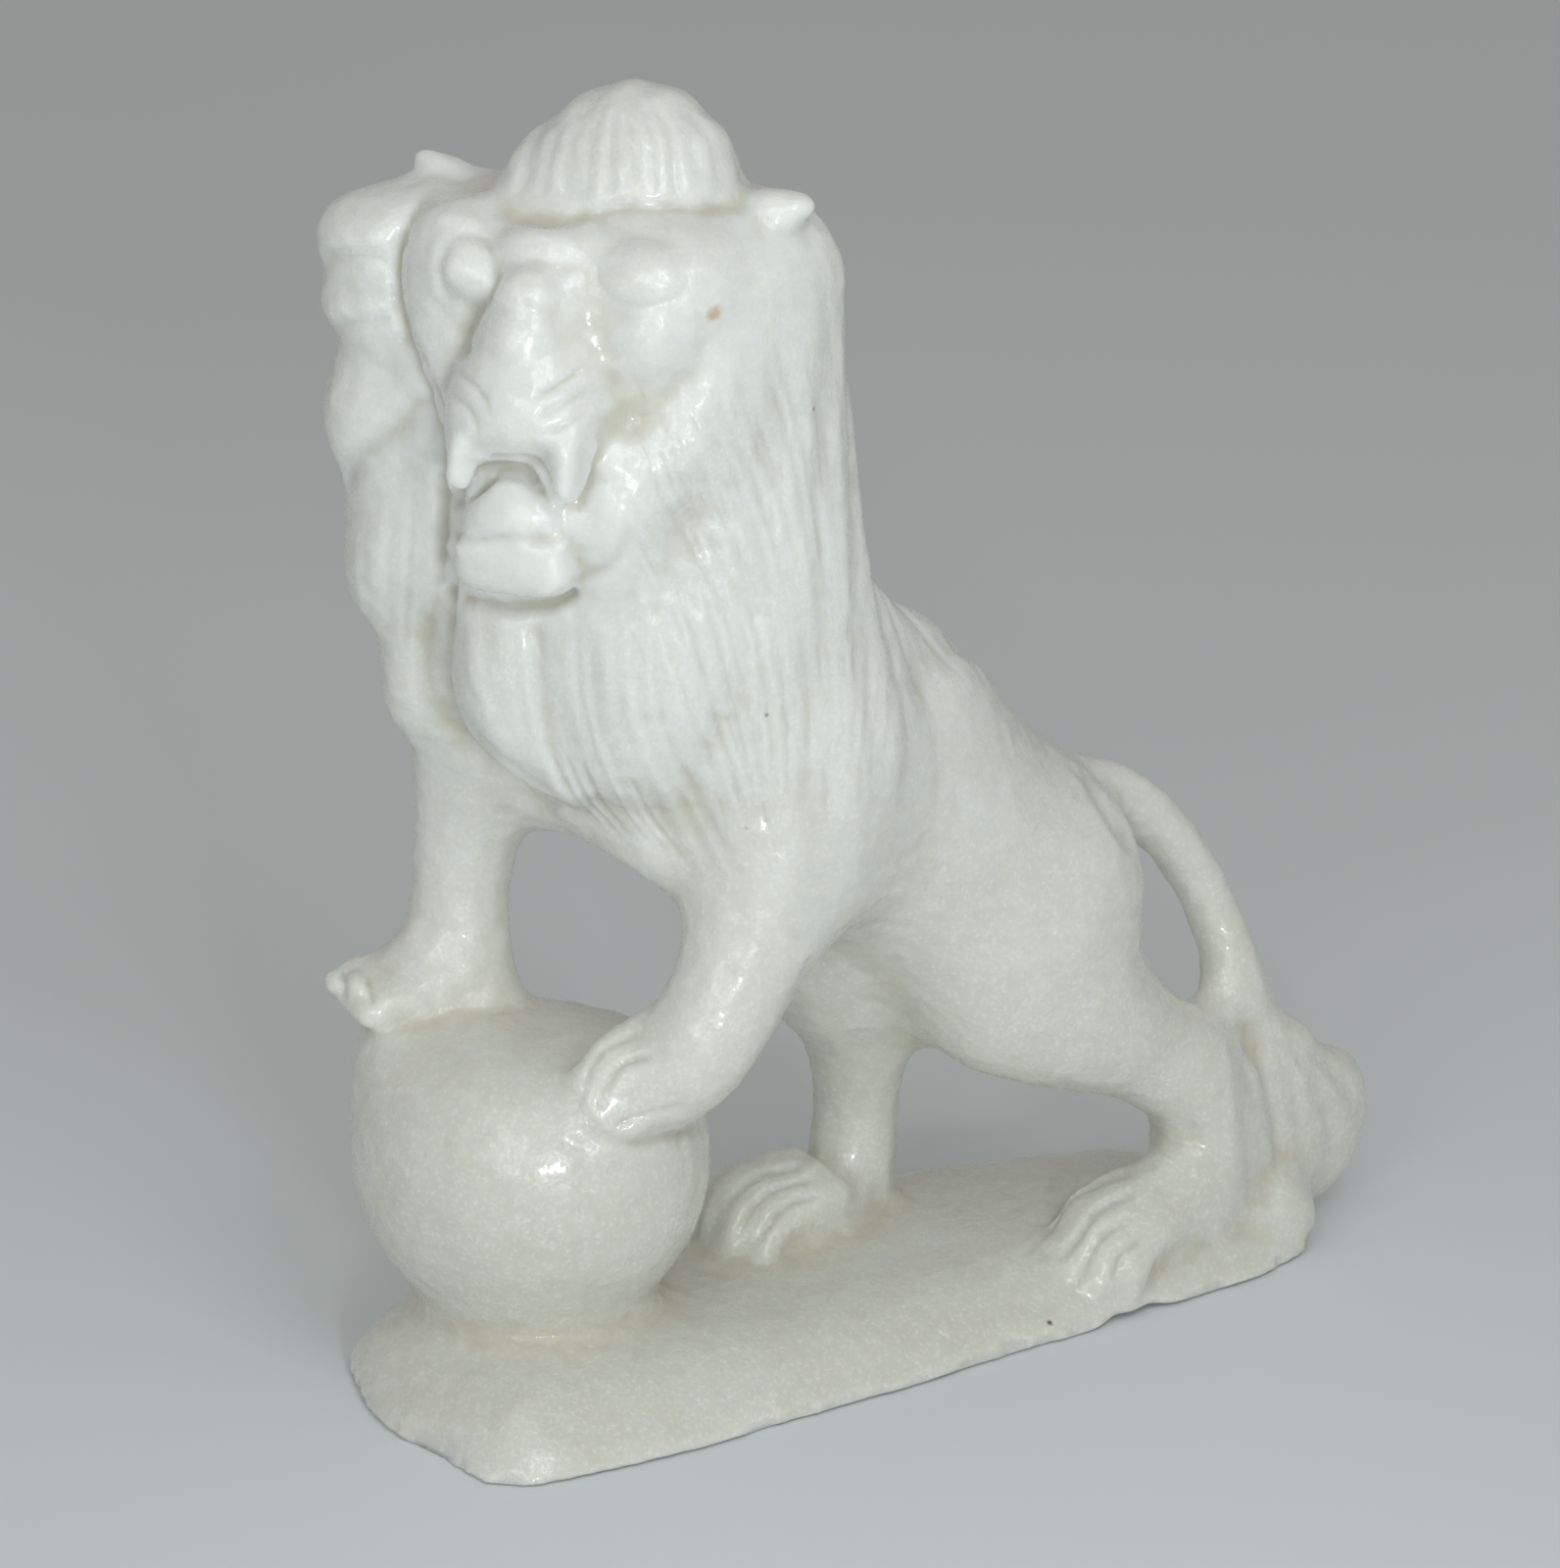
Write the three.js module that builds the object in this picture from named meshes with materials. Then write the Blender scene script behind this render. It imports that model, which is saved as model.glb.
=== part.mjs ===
// A small stone lion, carved from one block of white marble: it rests both forepaws on a ball and stands on a
// low rounded base. Millimetres, +Z up. The lion looks towards -Y and its left side is +X. The block is first
// worked out in the carver's own frame, whose origin is on the ground under the ball, and then centred.
import * as THREE from 'three';
import { edgeTable, triTable } from 'three/addons/objects/MarchingCubes.js';

// Driving sizes
const ballRadius = 17.6;
const ballHeight = 22.4; // centre of the ball above the ground
const baseThickness = 6.8;
const median = 7.5; // the lion's own middle, to the left of the ball's axis
const crownHeight = 119; // flat top of the mane, under the topknot
const headTurn = 35; // degrees that the head turns to the lion's left
const headAxis = [2, 7]; // where the head's own upright axis stands
const latticeStep = 0.85;
const facetCount = 9900;

// Small vector helpers: a point is an array of three numbers
const degrees = Math.PI / 180;
const mix = (a, b, t) => a + (b - a) * t;
const mixPoint = (a, b, t) => [mix(a[0], b[0], t), mix(a[1], b[1], t), mix(a[2], b[2], t)];
const clamp = (v, low, high) => Math.min(high, Math.max(low, v));
const smoothstep = (low, high, v) => {
  const t = clamp((v - low) / (high - low), 0, 1);
  return t * t * (3 - 2 * t);
};

// A place on the head: l to the lion's left, f forward out of the face, z the height above the ground
const turnCos = Math.cos(headTurn * degrees);
const turnSin = Math.sin(headTurn * degrees);
const onHead = (l, f, z) => [
  headAxis[0] + l * turnCos + f * turnSin,
  headAxis[1] + l * turnSin - f * turnCos,
  z,
];
const toHead = (p) => {
  const x = p[0] - headAxis[0];
  const y = p[1] - headAxis[1];
  return [x * turnCos + y * turnSin, x * turnSin - y * turnCos, p[2]];
};

// Distance fields: each mass is a function of a point, negative inside the stone. A point far from a mass
// gets its distance to the ball that encloses the mass.
const farAway = 9;
const length = (x, y, z) => Math.sqrt(x * x + y * y + z * z);
const turned = ([pitch, roll, yaw]) => {
  const euler = new THREE.Euler(pitch * degrees, roll * degrees, yaw * degrees, 'ZYX');
  return new THREE.Matrix4().makeRotationFromEuler(euler).elements;
};

// An egg with three radii, turned about X, Y and Z by the given degrees
function egg([cx, cy, cz], [rx, ry, rz], turns = [0, 0, 0]) {
  const e = turned(turns);
  const reach = Math.max(rx, ry, rz);
  return ([px, py, pz]) => {
    const [x, y, z] = [px - cx, py - cy, pz - cz];
    const away = length(x, y, z) - reach;
    if (away > farAway) return away;
    const u = (e[0] * x + e[1] * y + e[2] * z) / rx;
    const v = (e[4] * x + e[5] * y + e[6] * z) / ry;
    const w = (e[8] * x + e[9] * y + e[10] * z) / rz;
    const size = length(u, v, w);
    return (size * (size - 1)) / Math.max(length(u / rx, v / ry, w / rz), 1e-6);
  };
}

// A block with half sizes and rounded edges, turned in the same way
function block([cx, cy, cz], [hx, hy, hz], round, turns = [0, 0, 0]) {
  const e = turned(turns);
  const reach = length(hx, hy, hz);
  return ([px, py, pz]) => {
    const [x, y, z] = [px - cx, py - cy, pz - cz];
    const away = length(x, y, z) - reach;
    if (away > farAway) return away;
    const u = Math.abs(e[0] * x + e[1] * y + e[2] * z) - hx + round;
    const v = Math.abs(e[4] * x + e[5] * y + e[6] * z) - hy + round;
    const w = Math.abs(e[8] * x + e[9] * y + e[10] * z) - hz + round;
    return length(Math.max(u, 0), Math.max(v, 0), Math.max(w, 0)) + Math.min(Math.max(u, v, w), 0) - round;
  };
}

// A tapered bar with round ends
function bar([ax, ay, az], [bx, by, bz], radiusA, radiusB) {
  const [dx, dy, dz] = [bx - ax, by - ay, bz - az];
  const lengthSquared = dx * dx + dy * dy + dz * dz;
  return ([px, py, pz]) => {
    const [x, y, z] = [px - ax, py - ay, pz - az];
    const t = clamp((x * dx + y * dy + z * dz) / lengthSquared, 0, 1);
    return length(x - dx * t, y - dy * t, z - dz * t) - mix(radiusA, radiusB, t);
  };
}

// Smooth union, and smooth removal, with a fillet of about the given size
const blend = (a, b, fillet) => {
  const h = Math.max(fillet - Math.abs(a - b), 0) / fillet;
  return (a < b ? a : b) - h * h * fillet * 0.25;
};
const carve = (a, b, fillet) => -blend(-a, b, fillet);

function joined(masses, fillet) {
  return (p) => {
    let d = 1e3;
    for (const mass of masses) d = blend(d, mass(p), fillet);
    return d;
  };
}

// A limb through stations of [x, y, z, radius], on one smooth curve
function limb(stations, steps = 3) {
  const line = new THREE.CatmullRomCurve3(stations.map((s) => new THREE.Vector3(s[0], s[1], s[2])), false, 'centripetal');
  const count = (stations.length - 1) * steps;
  const bars = [];
  for (let i = 0; i < count; i++) {
    const [from, to] = [i, i + 1].map((n) => {
      const along = n / steps;
      const k = Math.min(Math.floor(along), stations.length - 2);
      const point = line.getPoint(n / count).toArray();
      return { point, radius: mix(stations[k][3], stations[k + 1][3], smoothstep(0, 1, along - k)) };
    });
    bars.push(bar(from.point, to.point, from.radius, to.radius));
  }
  return joined(bars, 0.8);
}

// The base: a low slab with an uneven rounded outline, sides that lean in, and a mound under the ball
const baseOutline = [
  [-14, -4], [-13.4, -11], [-10.8, -16], [-5.8, -18.7], [1.5, -21], [7.6, -21.8], [20.4, -20.6], [24.6, -17.2],
  [27.2, 0], [28.2, 30], [28.2, 72], [25.5, 81], [10, 84], [-3.5, 79.5], [-11, 55], [-14.5, 20],
];
const baseCornerRound = 3.6;
const baseLean = [0.3, 0.66]; // on the lion's right side and on its left side
function outlineDistance(x, y) {
  let nearest = Infinity;
  let inside = false;
  for (let i = 0, j = baseOutline.length - 1; i < baseOutline.length; j = i++) {
    const [ax, ay] = baseOutline[i];
    const [bx, by] = baseOutline[j];
    const t = clamp(((x - ax) * (bx - ax) + (y - ay) * (by - ay)) / ((bx - ax) ** 2 + (by - ay) ** 2), 0, 1);
    nearest = Math.min(nearest, Math.hypot(x - ax - (bx - ax) * t, y - ay - (by - ay) * t));
    if (ay > y !== by > y && x < ax + ((bx - ax) * (y - ay)) / (by - ay)) inside = !inside;
  }
  return inside ? -nearest : nearest;
}
function base(p) {
  const lean = mix(...baseLean, smoothstep(-12, 6, p[0]));
  const side = (outlineDistance(p[0], p[1]) + lean * p[2]) / Math.hypot(1, lean);
  const top = p[2] - baseThickness;
  return -blend(-side, -top, baseCornerRound * 2);
}

// The ball, worn flat on top between the paws, on a short foot
const footRadius = 10.6;
const ballTop = 36;
const ballSphere = egg([0, 0, ballHeight], [ballRadius, ballRadius, ballRadius]);
const farPawPost = bar([-6.5, -4, 25], [-11.4, -6.6, 36.6], 8.6, 6.2);
const ballFoot = bar([0, 0, 2], [0, 0, 9.5], footRadius + 3, footRadius - 1);
const ball = (p) => {
  const round = blend(ballSphere(p), farPawPost(p), 7);
  return carve(round, ballTop - p[2], 5);
};

// Body, from the ribs to the haunches
const trunk = joined([
  egg([median - 0.5, 33.6, 59], [13.5, 22, 15.8], [-44, 0, 0]),
  egg([median, 46, 45.5], [13.5, 17, 14.5], [-38, 0, 0]),
  egg([median + 0.5, 52.5, 40], [12.5, 11, 15.5], [-20, 0, 0]),
  egg([median + 7, 51, 38], [8, 10.5, 14], [-24, 0, 0]),
  egg([median - 6.5, 47.5, 38.5], [8, 10, 12.5], [-20, 0, 0]),
], 6);
const shoulders = joined([
  egg([14.5, 21, 61], [8.5, 10.5, 18], [-6, 0, 0]),
  egg([-5, 9, 68], [9.5, 10, 15], [0, 0, 0]),
  egg([5, 17, 73], [14, 14, 14], [0, 0, 0]),
], 6);

// Legs and paws
const nearForeleg = limb([
  [14.5, 21.5, 65, 8.8], [15.5, 18.2, 56, 7.5], [16.5, 15.2, 49.5, 6.2], [17, 12.6, 44, 5.7], [17, 9.6, 39.5, 5.3],
  [16.4, 7, 35.6, 5],
]);
const farForeleg = limb([
  [-11.5, 4, 80, 9.5], [-11.2, 3, 70, 8.8], [-10.8, 1.8, 61.5, 6.8], [-12, 0.6, 53, 5.2], [-12.6, 0, 47, 4.5],
  [-12.5, -1, 42, 4.5], [-12.5, -4, 38, 5],
]);
const farHeel = bar([-12.2, -0.5, 45], [-9.2, 0, 36.4], 2.8, 4.2);
const nearHindLeg = limb([
  [15.4, 55.6, 29.8, 8.1], [17, 63.4, 25, 5.9], [17.9, 71, 18.6, 5.9], [17.9, 72.2, 9, 6.2],
]);
const farHindLeg = limb([
  [1.5, 34.5, 37.5, 8], [-0.6, 40, 26, 5.2], [-2, 41.3, 18, 4.2], [-2, 40.5, 10, 4.6],
]);

// A paw: a broad pad and toes that run from their knuckles, over a bend, down to the tips
function paw(padCentre, padRadii, padTurn, toes, toeRadius) {
  const pad = egg(padCentre, padRadii, [0, 0, padTurn]);
  const fingers = toes.map((stations) => limb(stations.map((place, i) => [...place, toeRadius * (1 - 0.12 * i)]), 2));
  return (p) => {
    let d = pad(p);
    for (const finger of fingers) d = blend(d, finger(p), 1.2);
    return d;
  };
}
const spread = (from, to, count) => Array.from({ length: count }, (_, i) => mixPoint(from, to, i / (count - 1)));
const toesBetween = (knuckles, bends, tips) => knuckles.map((knuckle, i) => [knuckle, bends[i], tips[i]]);
const paws = joined([
  paw([15.2, 5.4, 34], [4, 5.4, 4.8], 10, [
    [[12.4, 6, 39], [12.3, 0.6, 37.2], [12.6, -2.2, 35.2], [13.2, -3.1, 33.2]],
    [[13.6, 6, 38.4], [13.6, 0.8, 36.4], [14, -1.8, 34.2], [14.4, -3, 31.8]],
    [[14.4, 6.6, 37.6], [14.6, 1.6, 35.4], [14.6, -0.6, 33.4], [14.7, -2.4, 31.4]],
    [[15.4, 8, 35], [16, 3.4, 32.8], [16, 0.6, 31], [15.8, -1.4, 29.4]],
  ], 1.8),
  paw([-12.2, -4.4, 37], [5, 6.2, 3.6], 0, toesBetween(
    spread([-15.4, -5, 38.8], [-9.2, -6, 37.8], 4),
    spread([-16, -10.6, 39.4], [-9.2, -11, 37.8], 4),
    spread([-15.8, -12.8, 38.4], [-9.4, -13.2, 36.8], 4),
  ), 1.5),
  paw([20, 61.5, 6.4], [5.6, 9.4, 4], 14, [
    [[17.4, 62, 10.2], [18, 55, 9.2], [19, 51.4, 6.8]],
    [[19.8, 61.6, 10.4], [21.4, 54, 8.8], [23.2, 50.4, 5.8]],
    [[22, 61.4, 9.6], [24.2, 54.2, 7.4], [25.6, 51.4, 4.4]],
    [[23.6, 62, 8], [25.6, 56.4, 5.8], [26.6, 54.4, 3.2]],
  ], 1.8),
  paw([0.4, 31.4, 8.2], [5.4, 8.6, 5], 0, [
    [[-4.2, 33, 11.8], [-4.4, 26.6, 11.6], [-4, 23, 9.6], [-3.4, 21.8, 7]],
    [[-1.6, 33, 13], [-1.5, 26, 12.8], [-0.8, 22.4, 10.2], [0, 21.4, 7.2]],
    [[1.4, 33, 12.8], [1.7, 26, 12.4], [2.5, 22.4, 9.6], [3, 21.4, 6.8]],
    [[4, 34, 11.2], [4.6, 28, 10.6], [5.1, 24.4, 8.4], [5.4, 23.2, 6.4]],
  ], 1.7),
  egg([20.2, 66.6, 8], [4.8, 6.4, 6]),
  egg([20.8, 78.6, 4], [5.2, 4.4, 4.6]),
], 1);

// Tail: it leaves the rump, arches down to the near hind leg and ends in a fanned tuft beyond the base
const tail = limb([
  [8, 62, 50.6, 3.4], [9.2, 67.8, 48, 3], [10.8, 72.8, 42.6, 2.7], [12.6, 76, 36, 2.6], [14.8, 77.6, 29, 2.9],
  [16.4, 79.6, 20, 3.4], [17, 81.4, 10, 4], [17.4, 80.6, 3, 4.4],
]);
const tailRest = bar([16.5, 69.5, 23], [15.6, 76.5, 27], 2.4, 2.8);
const tuft = joined([
  egg([16.4, 86, 9.6], [4, 8.6, 8.6]),
  egg([15.4, 89, 13.4], [3.2, 5.6, 4.4]),
  egg([16.6, 83, 15.5], [3.8, 4.6, 8]),
], 3);

// Mane: a broad collar that stands on the head's axis, the neck behind it and the chest below
const collar = joined([
  block(onHead(-3, -3, 96), [23, 11.5, 22.8], 10, [0, 0, headTurn]),
  block(onHead(13, -4, 96), [9.5, 9.5, 22.4], 8, [0, 0, headTurn - 20]),
], 4);
const neck = joined([
  egg([6, 19, 85], [13, 13, 28], [10, 0, 0]),
  egg(onHead(2, -1, 79), [19, 14, 20], [0, 0, headTurn]),
], 6);
const maneLobes = joined([
  egg(onHead(-18, 2.2, 113.6), [9.2, 7.6, 5.2], [0, 0, headTurn]),
  egg(onHead(-18, 2.6, 107), [8.8, 7.2, 4.2], [0, 6, headTurn]),
  egg(onHead(-19, 3, 97.6), [7.2, 7, 8.8], [0, 28, headTurn]),
  egg(onHead(-17.8, 3, 85), [5.6, 6.6, 10.4], [0, 24, headTurn]),
  egg(onHead(-16.8, 2, 72), [4.8, 5.8, 9], [0, 4, headTurn]),
], 2.6);
const beard = joined([
  egg(onHead(-5.2, 9.6, 75), [6, 5.6, 11], [0, -6, headTurn]),
  egg(onHead(-1.4, 7.6, 67.5), [4, 5, 7], [0, -14, headTurn]),
  egg(onHead(5, 6.4, 76), [9.5, 7.4, 15], [0, -4, headTurn]),
  egg([3.5, 10.5, 58.9], [8, 7, 6.5]),
  egg([9, 11, 57], [5, 6, 6]),
], 2.4);

// Topknot and ears
const topknot = joined([
  egg(onHead(3.9, -1, crownHeight), [10.2, 9.6, 10.6], [0, 0, headTurn]),
  egg(onHead(-2.4, 0, crownHeight), [7, 7.6, 5], [0, 0, headTurn]),
], 4);
const ears = joined([
  egg(onHead(18.1, -1.4, crownHeight - 0.4), [3.8, 2.8, 1.8], [0, 0, headTurn]),
  egg(onHead(-15.8, -2.4, crownHeight + 0.4), [4, 2, 1.5], [0, 24, headTurn]),
], 1);

// Face
const skull = block(onHead(0.5, 2.5, 105), [17, 10.5, 13.8], 7, [0, 0, headTurn]);
const forehead = egg(onHead(-0.4, 10.8, 116), [5.6, 3, 2], [0, 0, headTurn]);
const bridge = joined([
  egg(onHead(-1.1, 12.6, 111.4), [4.9, 5.2, 3.8], [0, 0, headTurn]),
  egg(onHead(-1.3, 13.6, 106.8), [5.4, 5.4, 4.2], [0, 0, headTurn]),
], 1.5);
const muzzle = joined([
  egg(onHead(-1.2, 13.4, 103), [7.6, 7.4, 4.6], [0, 0, headTurn]),
  egg(onHead(-1, 14.2, 100.8), [7.8, 7, 3.6], [0, 0, headTurn]),
], 2);
const cheek = egg(onHead(10.2, 10.4, 108), [5.6, 3.8, 4.4], [0, 0, headTurn]);
const eyes = joined([
  egg(onHead(9.2, 10.6, 113.2), [4.2, 3.2, 3.2], [0, 0, headTurn]),
  egg(onHead(-8.6, 11, 113.8), [3.4, 3.8, 3.2], [0, 0, headTurn]),
], 0.6);
const farOrbit = joined([
  egg(onHead(-10.4, 8.2, 113.4), [5, 4.6, 5.8], [0, 0, headTurn]),
  egg(onHead(-11.6, 8, 107.2), [3.4, 3.8, 4.8], [0, 0, headTurn]),
], 2);
const nearEyeGroove = limb([
  [...onHead(14.4, 12.6, 107.6), 1.3], [...onHead(13.4, 13.4, 104.4), 1.4], [...onHead(10.6, 14.4, 102), 1.4],
  [...onHead(7.4, 15.8, 99.6), 1.4],
]);
const lipRoll = limb([
  [...onHead(6.4, 13.2, 97), 2], [...onHead(8, 11.8, 92), 3.5], [...onHead(6, 12, 87), 2.8],
]);
const fangs = joined([
  bar(onHead(-6, 17.4, 99.8), onHead(-6.3, 18.8, 95), 2.6, 1.2),
  bar(onHead(4.2, 17.6, 99.8), onHead(4.6, 18.8, 94.4), 2.8, 1.2),
], 0.4);
const jaw = joined([
  block(onHead(-1.9, 13.4, 87.1), [5.9, 5.8, 2.9], 1.8, [0, 0, headTurn]),
  egg(onHead(-1.9, 15.2, 89.2), [3.4, 3, 1.6], [0, 0, headTurn]),
], 1);
const tongue = joined([
  egg(onHead(-1.3, 13, 94.6), [6.6, 4.6, 4.8], [0, 0, headTurn]),
  egg(onHead(-1.5, 13.8, 91), [6.4, 4.8, 3], [0, 0, headTurn]),
], 2);
const mouth = joined([
  block(onHead(-1, 21.4, 95.2), [3.6, 4.8, 2.9], 1.6, [0, 0, headTurn]),
  block(onHead(-1.6, 21.4, 92.2), [5.4, 4.4, 1.9], 1.2, [0, 0, headTurn]),
], 1);
const farFaceGroove = limb([
  [...onHead(-16.2, 9, 118.4), 0.7], [...onHead(-16.2, 9.8, 108), 0.9], [...onHead(-13, 11.8, 100), 1.4],
  [...onHead(-12, 11.8, 89), 2], [...onHead(-12.2, 10.6, 80), 1.8], [...onHead(-12.2, 9, 70), 1.3],
]);
const underJaw = bar(onHead(-7.6, 18, 82.2), onHead(4, 18, 82.2), 2.4, 2.4);

// Locks of hair: rounded ridges with narrower valleys between them
const valley = (across, pitch) => (0.5 + 0.5 * Math.cos((2 * Math.PI * across) / pitch)) ** 2;
const within = (v, low, high, soft) => smoothstep(low - soft, low, v) * smoothstep(high + soft, high, v);

// How deep the carver went below the rounded masses, at one point
function hairDepth(p) {
  const [l, f, z] = toHead(p);
  const knot = within(z, crownHeight + 2, 140, 2) * 0.5 * valley(l - 0.9, 4.6);
  const chestLocks = within(l, -11, 12, 2) * within(z, 58, 80, 5) * smoothstep(0, 3, f);
  const chest = chestLocks * 0.45 * valley(l - 1.4 + (z - 70) * 0.24, 4.6);
  const sideLocks = within(l, 15, 40, 4) * within(z, 64, 108, 8) * smoothstep(-16, -10, f);
  const side = sideLocks * 0.55 * valley(f * 0.9 + (z - 90) * 0.14, 5);
  const rearLocks = smoothstep(-8, -12, f) * within(z, 68, 112, 5);
  const rear = rearLocks * 0.8 * valley(l * 0.9 + 1.6 * Math.sin(z / 9), 5.4);
  return knot + chest + side + rear;
}

// The whole lion, mass by mass, in the order in which they blend
function stone(p) {
  let d = base(p);
  d = blend(d, ballFoot(p), 5);
  d = blend(d, ball(p), 2.6);
  let figure = blend(trunk(p), shoulders(p), 7);
  figure = blend(figure, neck(p), 7);
  figure = blend(figure, collar(p), 5);
  figure = blend(figure, beard(p), 3);
  figure = blend(figure, farForeleg(p), 4);
  figure = blend(figure, farHeel(p), 3);
  figure = blend(figure, nearForeleg(p), 5);
  figure = blend(figure, nearHindLeg(p), 4);
  figure = blend(figure, farHindLeg(p), 4);
  figure = blend(figure, tail(p), 2.5);
  figure = blend(figure, tailRest(p), 2.5);
  figure = blend(figure, tuft(p), 2);
  figure = blend(figure, skull(p), 2.5);
  figure = blend(figure, maneLobes(p), 1.6);
  figure = blend(figure, topknot(p), 1.2);
  figure = blend(figure, ears(p), 1.2);
  figure = blend(figure, forehead(p), 1.4);
  figure = carve(figure, farFaceGroove(p), 1);
  figure = blend(figure, farOrbit(p), 2);
  figure = blend(figure, cheek(p), 2);
  figure = carve(figure, nearEyeGroove(p), 4);
  figure = blend(figure, eyes(p), 1.8);
  figure = blend(figure, bridge(p), 3);
  figure = blend(figure, muzzle(p), 2);
  figure = carve(figure, underJaw(p), 1.5);
  figure = carve(figure, mouth(p), 0.8);
  figure = blend(figure, tongue(p), 1.6);
  figure = blend(figure, lipRoll(p), 3);
  figure = blend(figure, jaw(p), 0.8);
  figure = blend(figure, fangs(p), 0.8);
  figure += hairDepth(p);
  d = blend(d, figure, 3);
  d = blend(d, paws(p), 1.8);
  return Math.max(d, -p[2]);
}

// The stone's surface on a cubic lattice. Blocks of the lattice that the surface can't reach are left out.
const latticeLow = [-27, -26, -1.3];
const latticeHigh = [34, 104, 134];
const blockCells = 4;
function surfaceOf(field) {
  const cells = latticeLow.map((low, i) => Math.ceil((latticeHigh[i] - low) / latticeStep / blockCells) * blockCells);
  const [nx, ny, nz] = cells.map((n) => n + 1);
  const values = new Float32Array(nx * ny * nz).fill(NaN);
  const at = (i, j, k) => i + nx * (j + ny * k);
  const place = (i, j, k) => [latticeLow[0] + i * latticeStep, latticeLow[1] + j * latticeStep, latticeLow[2] + k * latticeStep];
  const valueAt = (i, j, k) => {
    const n = at(i, j, k);
    if (Number.isNaN(values[n])) values[n] = field(place(i, j, k)) || 1e-6;
    return values[n];
  };
  const reach = blockCells * latticeStep * 0.5 * Math.sqrt(3) * 1.7;
  const corners = [[0, 0, 0], [1, 0, 0], [1, 1, 0], [0, 1, 0], [0, 0, 1], [1, 0, 1], [1, 1, 1], [0, 1, 1]];
  const edges = [[0, 1], [1, 2], [3, 2], [0, 3], [4, 5], [5, 6], [7, 6], [4, 7], [0, 4], [1, 5], [2, 6], [3, 7]];
  const points = [];
  const faces = [];
  const pointOnEdge = new Map();
  const crossing = (i, j, k, edge) => {
    const [a, b] = edges[edge].map((c) => [i + corners[c][0], j + corners[c][1], k + corners[c][2]]);
    const axis = b.findIndex((v, n) => v !== a[n]);
    const key = at(...a) * 3 + axis;
    if (!pointOnEdge.has(key)) {
      const [va, vb] = [valueAt(...a), valueAt(...b)];
      pointOnEdge.set(key, points.length);
      points.push(mixPoint(place(...a), place(...b), va / (va - vb)));
    }
    return pointOnEdge.get(key);
  };
  for (let bk = 0; bk < nz - 1; bk += blockCells)
    for (let bj = 0; bj < ny - 1; bj += blockCells)
      for (let bi = 0; bi < nx - 1; bi += blockCells) {
        const half = blockCells / 2;
        if (Math.abs(field(place(bi + half, bj + half, bk + half))) > reach) continue;
        for (let k = bk; k < bk + blockCells; k++)
          for (let j = bj; j < bj + blockCells; j++)
            for (let i = bi; i < bi + blockCells; i++) {
              let code = 0;
              corners.forEach((c, n) => {
                if (valueAt(i + c[0], j + c[1], k + c[2]) < 0) code |= 1 << n;
              });
              if (!edgeTable[code]) continue;
              for (let n = code * 16; triTable[n] !== -1; n += 3)
                faces.push([0, 2, 1].map((m) => crossing(i, j, k, triTable[n + m])));
            }
      }
  return { points, faces };
}

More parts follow.
